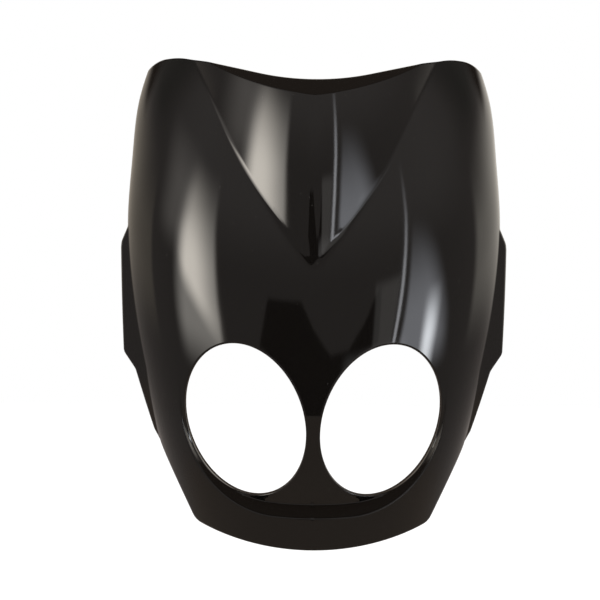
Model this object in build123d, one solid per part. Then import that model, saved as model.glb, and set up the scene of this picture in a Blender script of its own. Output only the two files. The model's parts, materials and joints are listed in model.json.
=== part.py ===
"""Front panel of a small motor scooter: one injection-moulded shell in glossy plastic.

Millimetres. +Z is up, the painted face looks along -Y and X runs across the scooter.
The origin is the middle of the four screw bosses that fix the panel, on their rear plane.
"""
from build123d import *
import os
from math import cos, radians, sin, sqrt, tan

# Moulding
wall = 2.5

# Front outline
top_valley_depth = 32.2
top_valley_radius = 189.0
shoulder_height = 217.3
shoulder_inner_half_width = 122.0
shoulder_inner_radius = 60.0
shoulder_half_width = 158.8
shoulder_corner_radius = 27.0
waist_half_width = 170.6
waist_height = 46.0
ear_half_width = 166.3
ear_height = -46.0
ear_corner_radius = 8.0
step_half_width = 155.2
step_height = -61.0
step_radius = 12.0
flank_half_width = 139.0
flank_height = -114.0
chin_half_width = 100.5
chin_height = -190.0
chin_corner_radius = 14.0
bottom_height = -211.0
edge_return = 9.0

# Body: half-elliptic level sections, swept along two arcs that meet at the foremost height,
# up to a little above the shoulders
nose_depth = 100.0
body_depth = 102.0
foremost_height = -88.0
upper_sweep_radius = 540.0
lower_sweep_radius = 350.0
body_above_shoulders = 14.7
body_stations = (
    (-225.0, 112.0),
    (-175.0, 121.0),
    (-125.0, 134.0),
    (-60.0, 150.5),
    (5.0, 162.0),
    (62.0, 166.8),
    (125.0, 165.0),
    (180.0, 162.2),
    (shoulder_height + body_above_shoulders, 152.0),
)

# Crest: the raised wedge that grows out of the body towards the top
crest_tip_height = 30.0
crest_lean = 0.22
crest_nose_radius = 26.0
crest_nose_turn = 16.0
crest_flank_radius = 200.0
crest_root_below = 14.0
crest_station_count = 6

# Top lip: a flat band that leans back from the front edge of the crest
lip_edge_below_shoulders = 46.3
lip_edge_setback = 30.0
lip_angle = 28.0

# Lamp pocket: the shallow floor around the two lamp openings. A drafted ledge bounds it, straight
# below the openings and wrapped round their outer sides
pocket_bottom_height = -183.0
pocket_half_width = 122.7
pocket_corner_radius = 90.0
pocket_rim_setback = 13.0
pocket_draft = 22.0
pocket_start_height = -60.0
floor_sweep_radius = 190.0
floor_lead = 1.5
floor_top_height = 10.0

# Lamp openings
lamp_offset = 57.3
lamp_height = -101.2
lamp_half_length = 66.3
lamp_half_breadth = 49.1
lamp_lean = 20.0
lamp_return = 14.0

# Side flares, which turn outwards behind the waist of the body: the crease lies at a share
# of the body's half width, and leaves the body at the lowest height
flare_shares = (
    (-125.0, 1.0),
    (-60.0, 0.962),
    (5.0, 0.970),
    (68.0, 0.982),
)
flare_angle = 45.0
flare_reach = 40.0
flare_root = 10.0
flare_top_height = 66.0
flare_top_half_width = 164.0
flare_top_slope = 2.4

# Rear edge as seen from the side: upright to the waist, then leaning back with the shoulders
rear_setback = 110.0
rear_bend_height = 60.0
rear_lean = 22.3

# Screw bosses
screw_half_spacing = 120.0
screw_half_rise = 100.0
boss_radius = 5.0
pilot_radius = 2.1
pilot_depth = 14.0
lamp_screw_half_spacing = 52.0
lamp_screw_top = -24.0
lamp_screw_bottom = -187.0
lamp_screw_setback = 48.0
lamp_pilot_radius = 1.7
lamp_pilot_depth = 12.0

# Ribs
rib_thickness = 1.8
rib_length = 34.0
lamp_rib_length = 12.0
rib_step = 8.0

# Room that construction solids run past the panel
past = 40.0
open_back = 260.0


def body_setback(height):
    """How far the middle line of the body lies behind its foremost point."""
    radius = upper_sweep_radius if height > foremost_height else lower_sweep_radius
    return radius - sqrt(radius**2 - (height - foremost_height) ** 2)


def floor_setback(height):
    """The same for the pocket floor, which falls back more sharply towards the chin."""
    drop = min(height - pocket_start_height, 0.0)
    return floor_sweep_radius - sqrt(floor_sweep_radius**2 - drop**2) - floor_lead


def half_elliptic_section(height, half_width, setback, inset):
    """Level section: half an ellipse facing forward, closed far behind the panel."""
    middle = setback + body_depth - nose_depth
    across = half_width - inset
    front = EllipticalCenterArc((0, middle), across, body_depth - inset, start_angle=180, arc_size=180)
    back = Polyline((across, middle), (across, open_back), (-across, open_back), (-across, middle))
    return Plane.XY.offset(height) * make_face(front.edges() + back.edges())


def swept_body(setback, inset, lowest, highest):
    """Solid through the body stations between two heights, on the given middle line."""
    sections = [
        half_elliptic_section(height, half_width, setback(height), inset)
        for height, half_width in body_stations
        if lowest <= height <= highest
    ]
    return loft(sections)


def crest_section(height, inset):
    """Level section of the crest: a small nose arc that runs on into two long flank arcs."""
    turn = crest_nose_turn
    lean = crest_lean * (height - crest_tip_height)
    nose_centre = body_setback(height) - lean + crest_nose_radius - nose_depth
    reach = crest_flank_radius - crest_nose_radius
    flank_x = reach * sin(radians(turn))
    flank_y = nose_centre + reach * cos(radians(turn))
    flank_radius = crest_flank_radius - inset
    side = flank_radius - flank_x
    nose = CenterArc((0, nose_centre), crest_nose_radius - inset, 270 - turn, 2 * turn)
    right = CenterArc((-flank_x, flank_y), flank_radius, 270 + turn, 90 - turn)
    left = CenterArc((flank_x, flank_y), flank_radius, 180, 90 - turn)
    back = Polyline((side, flank_y), (side, open_back), (-side, open_back), (-side, flank_y))
    outline = left.edges() + nose.edges() + right.edges() + back.edges()
    return Plane.XY.offset(height) * make_face(outline)


def crest(inset):
    lowest = crest_tip_height - crest_root_below
    highest = body_stations[-1][0]
    step = (highest - lowest) / (crest_station_count - 1)
    return loft([crest_section(lowest + step * i, inset) for i in range(crest_station_count)])


def lamp_pocket(inset):
    """What the pocket takes out of the body: a drafted, round-cornered funnel down to the floor."""
    half_height = pocket_start_height - pocket_bottom_height
    funnel = []
    for setback in (-past, 2 * past):
        grow = inset - (setback - pocket_rim_setback) * tan(radians(pocket_draft))
        rim = RectangleRounded(
            2 * (pocket_half_width + grow), 2 * (half_height + grow), pocket_corner_radius + grow
        )
        plane = Plane(
            origin=(0, setback - nose_depth, pocket_start_height), x_dir=(1, 0, 0), z_dir=(0, -1, 0)
        )
        funnel.append(plane * rim)
    lower_half = Pos(0, 0, pocket_start_height) * Box(
        4 * pocket_half_width,
        2 * open_back,
        4 * half_height,
        align=(Align.CENTER, Align.CENTER, Align.MAX),
    )
    floor = swept_body(floor_setback, inset, body_stations[0][0], floor_top_height)
    return (loft(funnel) & lower_half) - floor


def above_lip(inset):
    """Everything over the flat top lip."""
    edge = shoulder_height - lip_edge_below_shoulders - inset / cos(radians(lip_angle))
    slope = tan(radians(lip_angle))
    near = -nose_depth - past
    at_near = edge + slope * (near + nose_depth - lip_edge_setback)
    at_back = edge + slope * (open_back + past + nose_depth - lip_edge_setback)
    top = at_back + past
    side_view = Polygon(
        (near, at_near), (open_back + past, at_back), (open_back + past, top), (near, top), align=None
    )
    return extrude(Plane.YZ * side_view, amount=2 * shoulder_half_width, both=True)


def half_width_at(height):
    """Half width of the body between two of its stations."""
    for (low, low_width), (high, high_width) in zip(body_stations, body_stations[1:]):
        if height <= high:
            return low_width + (high_width - low_width) * (height - low) / (high - low)
    return body_stations[-1][1]


def flare_section(height, share, inset):
    """Level section behind the right-hand flare, from inside the body outwards and back."""
    slope = tan(radians(flare_angle))
    crease_x = share * half_width_at(height)
    crease_depth = body_depth * (1 - sqrt(1 - share**2))
    crease_y = body_setback(height) + crease_depth - nose_depth + inset / cos(radians(flare_angle))
    inner_x = crease_x - flare_root
    outer_x = crease_x + flare_reach
    section = Polygon(
        (inner_x, crease_y - flare_root * slope),
        (outer_x, crease_y + flare_reach * slope),
        (outer_x, open_back),
        (inner_x, open_back),
        align=None,
    )
    return Plane.XY.offset(height) * section


def flare(inset):
    """Solid behind the right-hand flare, cut to its slanting top edge."""
    block = loft([flare_section(height, share, inset) for height, share in flare_shares], ruled=True)
    top = flare_top_height - inset * sqrt(1 + flare_top_slope**2)
    run = flare_reach + past
    above = Polygon(
        (flare_top_half_width - past, top + past * flare_top_slope),
        (flare_top_half_width + run, top - run * flare_top_slope),
        (flare_top_half_width + run, top + past * flare_top_slope),
        align=None,
    )
    return block - extrude(Plane.XZ * above, amount=open_back + past, both=True)


def form(inset):
    """The solid whose face is the panel's outer skin, moved inwards by inset."""
    body = swept_body(body_setback, inset, body_stations[0][0], body_stations[-1][0])
    side = flare(inset)
    whole = (body - lamp_pocket(inset)) + [crest(inset), side, mirror(side, Plane.YZ)]
    return whole - above_lip(inset)


def outline_face():
    """The panel's outline as seen from the front, with its rounded corners."""
    right_side = [
        (shoulder_inner_half_width, shoulder_height),
        (shoulder_half_width, shoulder_height),
        (waist_half_width, waist_height),
        (ear_half_width, ear_height),
        (step_half_width, step_height),
        (flank_half_width, flank_height),
        (chin_half_width, chin_height),
    ]
    left_side = [(-x, z) for x, z in right_side]
    valley = (0, shoulder_height - top_valley_depth)
    sides = Polyline(*reversed(left_side), valley, *right_side)
    bottom = ThreePointArc(right_side[-1], (0, bottom_height), left_side[-1])
    face = make_face(sides.edges() + bottom.edges())
    face = fillet(face.vertices().sort_by_distance((*valley, 0))[0], top_valley_radius)
    rounded = (
        (right_side[0], shoulder_inner_radius),
        (right_side[1], shoulder_corner_radius),
        (right_side[3], ear_corner_radius),
        (right_side[4], step_radius),
        (right_side[6], chin_corner_radius),
    )
    for (x, z), radius in rounded:
        for side_x in (x, -x):
            face = fillet(face.vertices().sort_by_distance((side_x, z, 0))[0], radius)
    return face


def from_front(face):
    """Solid that runs through the whole panel along Y, with the given front view."""
    return extrude(Plane.XZ * face, amount=open_back + past, both=True)


def behind_rear_edge():
    """Everything behind the rear edge of the panel."""
    rear = rear_setback - nose_depth
    top = shoulder_height + past
    bottom = bottom_height - past
    far = open_back + past
    lean = (top - rear_bend_height) * tan(radians(rear_lean))
    side_view = Polygon(
        (rear, bottom),
        (far, bottom),
        (far, top),
        (rear + lean, top),
        (rear, rear_bend_height),
        align=None,
    )
    return extrude(Plane.YZ * side_view, amount=2 * shoulder_half_width, both=True)


def lamp_face(margin):
    """Front view of the right-hand lamp opening, grown by a margin."""
    oval = Ellipse(lamp_half_breadth + margin, lamp_half_length + margin)
    return Pos(lamp_offset, lamp_height) * Rot(0, 0, -lamp_lean) * oval


def both_sides(solid):
    return solid + mirror(solid, Plane.YZ)


def edge_band(outline):
    """The edge that turns back all round the outline."""
    lowest, highest = body_stations[0][0], body_stations[-1][0]
    band = from_front(outline - offset(outline, -wall))
    return band - swept_body(body_setback, edge_return, lowest, highest)


def lamp_rings():
    """The edge that turns back round each lamp opening."""
    ring = from_front(lamp_face(wall) - lamp_face(0))
    behind = swept_body(floor_setback, lamp_return, body_stations[0][0], floor_top_height)
    return both_sides(ring - behind)


def screw_places():
    """Place, seat, rib length, pilot radius and pilot depth of each screw on the right."""
    lamp_seat = lamp_screw_setback - nose_depth
    for z in (screw_half_rise, -screw_half_rise):
        yield screw_half_spacing, 0.0, z, rib_length, pilot_radius, pilot_depth
    for z in (lamp_screw_top, lamp_screw_bottom):
        yield lamp_screw_half_spacing, lamp_seat, z, lamp_rib_length, lamp_pilot_radius, lamp_pilot_depth


def screw_bosses():
    """Bosses from their seats forward, each with an outward and an upright rib below the seat."""
    solids = []
    for x, seat, z, length, _, _ in screw_places():
        ribs = Box(length, nose_depth, rib_thickness, align=(Align.MIN, Align.MAX, Align.CENTER))
        ribs += Box(rib_thickness, nose_depth, 2 * length, align=(Align.CENTER, Align.MAX, Align.CENTER))
        boss = extrude(Plane.XZ * Circle(boss_radius), amount=nose_depth)
        solids.append(both_sides(Pos(x, seat, z) * (boss + Pos(0, -rib_step, 0) * ribs)))
    return solids


def pilot_holes():
    return [
        both_sides(Pos(x, seat, z) * extrude(Plane.XZ * Circle(radius), amount=depth))
        for x, seat, z, _, radius, depth in screw_places()
    ]


def front_panel():
    outline = outline_face()
    block = (form(0) & from_front(outline)) - behind_rear_edge()
    hollow = form(wall) - [edge_band(outline), lamp_rings(), *screw_bosses()]
    openings = both_sides(from_front(lamp_face(0)))
    return block - [hollow, openings, *pilot_holes()]


os.makedirs("parts", exist_ok=True)
export_step(front_panel(), "parts/front_panel.step")
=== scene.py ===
"""Looks of the scooter front panel: a glossy moulded shell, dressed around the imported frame.

The forms are worked out in millimetres in the frame's own axes, and made in metres:
X runs across the scooter, Z is up, and the painted face looks along -Y.
"""
import json
from math import atan2, cos, pi, radians, sin, sqrt, tan

import bmesh
import bpy
import numpy as np
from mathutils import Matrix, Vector
from mathutils.geometry import delaunay_2d_cdt
from mathutils.kdtree import KDTree

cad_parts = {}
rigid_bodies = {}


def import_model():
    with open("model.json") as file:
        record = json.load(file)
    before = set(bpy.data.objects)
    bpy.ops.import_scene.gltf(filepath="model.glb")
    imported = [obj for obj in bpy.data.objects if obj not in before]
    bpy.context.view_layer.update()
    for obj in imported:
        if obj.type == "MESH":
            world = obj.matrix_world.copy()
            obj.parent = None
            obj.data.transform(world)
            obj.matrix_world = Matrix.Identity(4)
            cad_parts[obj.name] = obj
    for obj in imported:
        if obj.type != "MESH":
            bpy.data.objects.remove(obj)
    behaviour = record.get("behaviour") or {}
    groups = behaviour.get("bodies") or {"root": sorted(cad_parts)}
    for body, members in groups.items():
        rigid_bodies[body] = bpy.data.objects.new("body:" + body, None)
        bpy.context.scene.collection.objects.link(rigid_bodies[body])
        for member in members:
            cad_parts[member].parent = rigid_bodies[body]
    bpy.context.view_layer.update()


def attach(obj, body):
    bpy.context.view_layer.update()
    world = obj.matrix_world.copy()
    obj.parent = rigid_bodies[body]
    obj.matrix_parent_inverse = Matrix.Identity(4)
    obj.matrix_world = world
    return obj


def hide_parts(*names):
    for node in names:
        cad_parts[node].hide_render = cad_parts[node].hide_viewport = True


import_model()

MM = 0.001

# Moulding
WALL = 2.5
NOSE_DEPTH = 100.0
BODY_DEPTH = 102.0
FOREMOST_HEIGHT = -88.0
UPPER_SWEEP_RADIUS = 540.0
LOWER_SWEEP_RADIUS = 350.0
BODY_STATIONS = (
    (-225.0, 112.0), (-175.0, 121.0), (-125.0, 134.0), (-60.0, 150.5), (5.0, 162.0),
    (62.0, 166.8), (125.0, 165.0), (180.0, 162.2), (232.0, 152.0),
)

# Past its own edge a face falls away this steeply, so it never shows there
STEEP = 30.0

# Crest. Its nose keeps a little room behind the foremost plane. Where its crease is looked for:
# the centre's height, the last direction, how many directions, and the nearest and furthest reach
CREST_TIP_HEIGHT = 30.0
CREST_LEAN = 0.22
CREST_NOSE_RADIUS = 26.0
CREST_NOSE_TURN = radians(16.0)
CREST_FLANK_RADIUS = 200.0
CREST_BLEND = 1.2
CREST_ROOM = 0.06
CREST_LOOK = (120.0, radians(68.0), 400, 2.0, 130.0)

# Top lip. Its edge is looked for out to a half width, at a count of places, between two heights
LIP_EDGE_HEIGHT = 171.0
LIP_EDGE_SETBACK = 30.0
LIP_ANGLE = radians(28.0)
LIP_BLEND = 0.7
LIP_LOOK = (120.0, 160, 140.0, 230.0)

# Lamp pocket. Its ledge is looked for in the same way as the crest's crease
POCKET_BOTTOM = -183.0
POCKET_HALF_WIDTH = 122.7
POCKET_CORNER_RADIUS = 90.0
POCKET_RIM_SETBACK = 13.0
POCKET_DRAFT = radians(22.0)
POCKET_START = -60.0
POCKET_TOP_STEEPNESS = 4.0
FLOOR_SWEEP_RADIUS = 190.0
FLOOR_LEAD = 1.5
LEDGE_LOOK = (-79.8, radians(12.0), 260, 70.0, 132.0)
LEDGE_EDGE_BLEND = 2.6
LEDGE_FOOT_BLEND = 2.4

# Lamp openings
LAMP_OFFSET = 57.3
LAMP_HEIGHT = -101.2
LAMP_HALF_LENGTH = 66.3
LAMP_HALF_BREADTH = 49.1
LAMP_MEAN_RADIUS = 58.0
LAMP_LEAN = radians(20.0)
LAMP_RETURN = 14.0
LAMP_EDGE_RADIUS = 1.8

# Side flares
FLARE_STATIONS = ((-125.0, 1.0), (-60.0, 0.962), (5.0, 0.970), (68.0, 0.982))
FLARE_TOP_HEIGHT = 66.0
FLARE_TOP_HALF_WIDTH = 164.0
FLARE_TOP_SLOPE = 2.4
FLARE_TOP_STEEPNESS = 8.0
FLARE_BOTTOM_STEEPNESS = 2.0
FLARE_ROOT = 10.0
FLARE_BLEND = 0.9
FLARE_SLOPE = 0.87
FLARE_LINE_HEIGHTS = (-112.0, 66.0)
FLARE_TOP_LINE = (162.5, 171.0, 8)

# Front outline: corners on the right-hand side as (x, z, corner radius)
TOP_VALLEY = (0.0, 185.1, 189.0)
RIGHT_CORNERS = (
    (122.0, 217.3, 60.0),
    (158.8, 217.3, 27.0),
    (170.6, 46.0, 0.0),
    (166.3, -46.0, 8.0),
    (155.2, -61.0, 12.0),
    (139.0, -114.0, 0.0),
    (100.5, -190.0, 14.0),
)
BOTTOM_HEIGHT = -211.0
OUTLINE_EDGE_RADIUS = 1.5
EDGE_RETURN = 9.0
LEAST_RETURN = 0.8
INNER_EDGE_RADIUS = 0.5
ROOT_CLEARANCE = 0.05
ROOT_TURN = 0.35

# A small round corner is one ring at its middle, this share of its radius off both faces
CORNER_SHARE = 0.3

# Rear edge
REAR_SETBACK = 110.0
REAR_BEND_HEIGHT = 60.0
REAR_LEAN = radians(22.3)
REAR_ROOM = 3.0

# The solid's own furthest points back and forward, less a hair
REARMOST = 73.1
FOREMOST = -99.86

# Mesh: spacing on the painted skin, the back, the rims and the rows beside a feature line
FACE_STEP = 2.3
BACK_STEP = 3.4
LOOP_STEP = 2.1
ROW_STEP = 1.7
OUTLINE_STEP = 0.4
CREST_ROWS = (-2.6, -1.6, -0.8, 0, 0.8, 1.6, 2.6)
LIP_ROWS = (-2.0, -1.0, -0.4, 0, 0.4, 1.0, 2.0)
LEDGE_EDGE_ROWS = (-2.0, -1.2, -0.5, 0, 0.5, 1.2, 2.0)
LEDGE_FOOT_ROWS = (-2.4, -1.5, -0.7, 0, 0.7, 1.5, 2.4)
FLARE_ROWS = (-1.2, -0.6, 0, 0.6, 1.2)
FLARE_TOP_ROWS = (-0.3, 0.0, 0.3, 0.8)

# How far points keep off the rims, in steps, off earlier rows, and off all of these, in steps
RIM_CLEARANCE = 0.45
ROW_CLEARANCE = 0.25
GRID_CLEARANCE = 0.62
MIDDLE_CLEARANCE = 0.05
MERGE_DISTANCE = 1e-7
SLOPE_PROBE = 0.05
TINY = 1e-12
HALVINGS = 40

# The skin is laid out flat on an arc sine, from half widths a little beyond the outline
SPREAD_STATIONS = (
    (-232.0, 119.0), (-190.0, 122.5), (-150.0, 134.0), (-125.0, 139.5), (-100.0, 150.0),
    (-70.0, 163.0), (-46.0, 168.8), (20.0, 171.2), (50.0, 172.4), (75.0, 171.4),
    (110.0, 169.4), (180.0, 165.6), (232.0, 159.0),
)
SPREAD_LENGTH = 170.0
SHARP_ANGLE = radians(50.0)

# Material slots of the shell, and how many strips of a rim are gloss, counted from the front
GLOSS, SATIN = 0, 1
RETURN_STRIPS = 7

# Screw bosses and their ribs. Seats are those on the right, and each has its mirror image
UPPER_SEATS = ((120.0, 0.0, 100.0),)
LOWER_SEATS = ((120.0, 0.0, -100.0),)
LAMP_SEATS = ((52.0, -52.0, -24.0), (52.0, -52.0, -187.0))
# Radius and depth of a boss's pilot hole, and lengths of its upright and its outward rib
UPPER_BOSS = (2.1, 14.0, 34.0, 34.0)
LOWER_BOSS = (2.1, 14.0, 34.0, 18.8)
LAMP_BOSS = (1.7, 12.0, 12.0, 12.0)
BOSS_RADIUS = 5.0
BOSS_SIDES = 28
RIB_THICKNESS = 1.8
RIB_STEP = 8.0
RIB_SPACING = 2.5
SEAT_CHAMFER = 0.5
TOP_ROUND = 0.4
# A foot flares out as it comes down: distance out from the wall, and rise off the shell
FOOT = ((0.0, 3.0), (0.25, 1.6), (0.8, 0.6), (1.8, 0.05), (1.8, -0.8))
# Other rings may sink this far into the shell. A foot starts deeper than the shell ever is, and
# the rays that find the shell start behind everything
HIDDEN = -0.8
FOOT_DEPTH = 100.0
BEHIND = 130.0
RAY_LENGTH = 1000.0
BOSS_INPUTS = (
    ("Seats", "NodeSocketGeometry"), ("Boss", "NodeSocketObject"), ("Shell", "NodeSocketObject"),
    ("Start Depth", "NodeSocketFloat"), ("Foot Size", "NodeSocketFloat"), ("Finish", "NodeSocketMaterial"),
)

# Plastic: scales and details of its waves, grain, drift and dust. Scales count over a metre
SURFACE_INPUTS = ("Wave Size", "Wave Height", "Grain Size", "Grain Height", "Dust")
WAVE_DETAIL = 1.0
GRAIN_DETAIL = 2.0
CLOUD_SCALE = 9.0
CLOUD_DETAIL = 4.0
SPECK_SCALE = 420.0
SPECK_RADIUS = 0.09
DUST_COLOUR = (0.16, 0.15, 0.14)
PLASTIC_IOR = 1.5
GLOSS_BLACK = {
    "dark": (0.0022, 0.002, 0.0019), "pale": (0.0034, 0.0031, 0.0029),
    "roughness": (0.03, 0.07), "bump": 0.25, "surface": (22.0, 0.5, 900.0, 0.012, 0.02),
}
SATIN_BACK = {
    "dark": (0.010, 0.0095, 0.009), "pale": (0.016, 0.0152, 0.0145),
    "roughness": (0.34, 0.5), "bump": 0.6, "surface": (30.0, 0.5, 1400.0, 0.14, 0.06),
}

# The room that the gloss reflects. Each patch has a colour and the fades that bound it: what the
# fade is measured in, where the patch is gone and where it is whole, in degrees. They are the
# floor, the ceiling in front and at the sides, a paper on each side, and the dark behind
ROOM_MIDDLE = (0.305, 0.27, 0.25)
ROOM_DARK = (0.06, 0.045, 0.035)
ROOM_PATCHES = (
    ((0.34, 0.275, 0.225), (("elevation", -18.0, -28.0),)),
    ((0.5, 0.455, 0.43), (("elevation", 20.0, 40.0), ("aside", 105.0, 60.0))),
    ((0.15, 0.14, 0.125), (("elevation", 24.0, 38.0), ("aside", 80.0, 112.0))),
    ((0.68, 0.6, 0.5), (("elevation", -7.0, 7.0), ("elevation", 30.0, 14.0), ("azimuth", -92.0, -97.0))),
    ((1.2, 1.12, 1.0), (("elevation", -7.0, 7.0), ("elevation", 30.0, 14.0), ("azimuth", 91.0, 99.0))),
    (ROOM_DARK, (("aside", 164.0, 170.0), ("elevation", -16.0, -12.0), ("elevation", 16.0, 12.0))),
    (ROOM_DARK, (("aside", 122.0, 135.0), ("elevation", 18.0, 26.0))),
)

# The dark card in front: its sides, and its top and bottom edges as azimuths and elevations
CARD_SIDES = (("azimuth", -27.0, -24.0), ("azimuth", 30.0, 29.0))
CARD_TOP = (
    (-40, -40), (-25, 6), (-19, 19), (-5, 19), (0, 13.5), (8, 8), (16, 8.5), (22, 13), (28, 20), (40, 20),
)
CARD_BOTTOM = ((-40, 6), (-22, 6), (-11, 0), (-8.5, -24), (8.5, -24), (11, 0), (22, 6), (40, 8))
CARD_SOFTNESS = 1.6
CARD_SPAN = 80.0

# Soft lights: colour, the lean and azimuths of each side's fade, the tilt of the lower edge, and
# the elevations of the lower and upper fades. Sides lean about one elevation, lower edges tilt
# about one azimuth. They are two dim cards, the left soft box with its bright part and its glow,
# a thin strip, and the right soft box's glow and bright part
SOFT_LIGHTS = (
    ((0.5, 0.5, 0.5), (0.0, (12.0, 17.0)), (0.0, (42.0, 46.0)), 0.0, ((-8.0, -6.0), (4.0, 8.0))),
    ((0.5, 0.49, 0.47), (0.0, (26.0, 27.6)), (-0.19, (36.8, 38.6)), 0.0, ((-7.0, -3.0), (18.5, 21.5))),
    ((3.3, 3.15, 2.9), (-0.1, (-74.0, -63.0)), (0.1, (-45.6, -42.4)), 0.0, ((-6.0, 6.0), (18.0, 42.0))),
    ((8.6, 8.0, 7.1), (-0.13, (-71.0, -62.0)), (0.19, (-58.0, -41.0)), 0.42, ((6.0, 14.0), (17.0, 42.0))),
    ((0.85, 0.8, 0.74), (0.0, (-92.0, -72.0)), (0.19, (-62.0, -46.0)), 0.0, ((15.0, 26.0), (32.0, 44.0))),
    ((5.0, 5.1, 5.4), (-0.19, (38.2, 39.0)), (-0.19, (39.6, 40.4)), 0.0, ((-6.0, 2.0), (16.0, 46.0))),
    ((2.7, 2.8, 3.05), (-0.19, (41.5, 44.0)), (0.6, (54.0, 67.0)), 0.0, ((-6.0, 4.0), (9.0, 33.0))),
    ((12.3, 12.8, 13.4), (0.0, (51.5, 57.0)), (0.0, (57.5, 65.0)), 0.0, ((-8.0, -3.0), (3.5, 15.5))),
)
LEAN_ABOUT = 15.0
TILT_ABOUT = -55.0

# Floor, top light and camera, in metres. The slope is half the frame's width over its distance
FLOOR_SIZE = 9.0
FLOOR_HEIGHT = -0.34
FLOOR_WHITE = (0.93, 0.93, 0.93, 1)
FLOOR_ROUGHNESS = 0.95
FLOOR_GLOW = 0.12
TOP_LIGHT_SIZE = 1.6
TOP_LIGHT_POWER = 14.0
TOP_LIGHT_PLACE = (0.0, -0.2, 1.9)
CAMERA_PLACE = (-0.0118, -1.7, 0.0)
CAMERA_ROLL = radians(-0.45)
CAMERA_SENSOR = 36.0
CAMERA_SLOPE = 249 / 1600


def spline_through(stations):
    """Smooth curve through the stations, as a function of height."""
    at = np.array([s[0] for s in stations])
    value = np.array([s[1] for s in stations])
    slope = np.gradient(value, at)

    def curve(z):
        z = np.clip(z, at[0], at[-1])
        i = np.clip(np.searchsorted(at, z) - 1, 0, len(at) - 2)
        run = at[i + 1] - at[i]
        t = (z - at[i]) / run
        return (
            (2 * t**3 - 3 * t**2 + 1) * value[i]
            + (t**3 - 2 * t**2 + t) * run * slope[i]
            + (3 * t**2 - 2 * t**3) * value[i + 1]
            + (t**3 - t**2) * run * slope[i + 1]
        )

    return curve


body_half_width = spline_through(BODY_STATIONS)


def around(turn):
    """Unit directions at these angles."""
    return np.stack([np.cos(turn), np.sin(turn)], 1)


def unit(vectors):
    return vectors / np.linalg.norm(vectors, axis=1, keepdims=True)


def signed_area(loop):
    x, z = loop[:, 0], loop[:, 1]
    return 0.5 * np.sum(x * np.roll(z, -1) - np.roll(x, -1) * z)


def spread_half_width(z):
    return np.interp(z, *zip(*SPREAD_STATIONS))


def body_setback(z):
    rise = z - FOREMOST_HEIGHT
    radius = np.where(rise > 0, UPPER_SWEEP_RADIUS, LOWER_SWEEP_RADIUS)
    return radius - np.sqrt(radius**2 - rise**2)


def floor_setback(z):
    drop = np.minimum(z - POCKET_START, 0.0)
    return FLOOR_SWEEP_RADIUS - np.sqrt(np.maximum(FLOOR_SWEEP_RADIUS**2 - drop**2, 0.0)) - FLOOR_LEAD


def rear_edge(z):
    return REAR_SETBACK - NOSE_DEPTH + np.maximum(z - REAR_BEND_HEIGHT, 0.0) * tan(REAR_LEAN)


def softer_min(a, b, blend):
    """The lesser of two depths, with a round transition where they cross."""
    share = np.maximum(blend - np.abs(a - b), 0.0) / blend
    return np.minimum(a, b) - share**2 * blend / 4


def softer_max(a, b, blend):
    return -softer_min(-a, -b, blend)


def half_ellipse(x, z, setback, inset):
    across = body_half_width(z) - inset
    middle = setback + BODY_DEPTH - NOSE_DEPTH
    share = np.clip(1 - (x / across) ** 2, 0.0, None)
    past = np.maximum(np.abs(x) - across, 0.0)
    return middle - (BODY_DEPTH - inset) * np.sqrt(share) + STEEP * past


def body_face(x, z, inset):
    return half_ellipse(x, z, body_setback(z), inset)


def pocket_floor(x, z, inset):
    return half_ellipse(x, z, floor_setback(z), inset)


def pocket_ledge(x, z, inset):
    """The drafted ledge round the lamp pocket: straight below, with round lower corners."""
    half_height = POCKET_START - POCKET_BOTTOM
    across = np.abs(x) - (POCKET_HALF_WIDTH - POCKET_CORNER_RADIUS)
    down = np.abs(z - POCKET_START) - (half_height - POCKET_CORNER_RADIUS)
    corner = np.hypot(np.maximum(across, 0.0), np.maximum(down, 0.0))
    within = POCKET_CORNER_RADIUS - corner - np.minimum(np.maximum(across, down), 0.0)
    return POCKET_RIM_SETBACK - NOSE_DEPTH + (within + inset) / tan(POCKET_DRAFT)


def pocket_face(x, z, inset):
    """Floor of the lamp pocket and the ledge round it."""
    cut = softer_min(pocket_floor(x, z, inset), pocket_ledge(x, z, inset), LEDGE_FOOT_BLEND)
    above = np.maximum(z - POCKET_START, 0.0)
    return cut - above * POCKET_TOP_STEEPNESS


def crest_face(x, z, inset):
    lean = CREST_LEAN * (z - CREST_TIP_HEIGHT)
    nose_centre = body_setback(z) - lean + CREST_NOSE_RADIUS - NOSE_DEPTH + CREST_ROOM
    reach = CREST_FLANK_RADIUS - CREST_NOSE_RADIUS
    side = np.abs(x)
    nose_radius = CREST_NOSE_RADIUS - inset
    flank_radius = CREST_FLANK_RADIUS - inset
    nose = nose_centre - np.sqrt(np.maximum(nose_radius**2 - side**2, 0.0))
    flank_reach = side + reach * sin(CREST_NOSE_TURN)
    flank = (
        nose_centre
        + reach * cos(CREST_NOSE_TURN)
        - np.sqrt(np.maximum(flank_radius**2 - flank_reach**2, 0.0))
        + STEEP * np.maximum(flank_reach - flank_radius, 0.0)
    )
    return np.where(side < nose_radius * sin(CREST_NOSE_TURN), nose, flank)


def flare_crease(z):
    """Where the flare leaves the body: half width and depth."""
    share = np.interp(z, *zip(*FLARE_STATIONS))
    crease_x = share * body_half_width(z)
    crease_y = body_setback(z) + BODY_DEPTH * (1 - np.sqrt(np.maximum(1 - share**2, 0.0))) - NOSE_DEPTH
    return crease_x, crease_y


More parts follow.
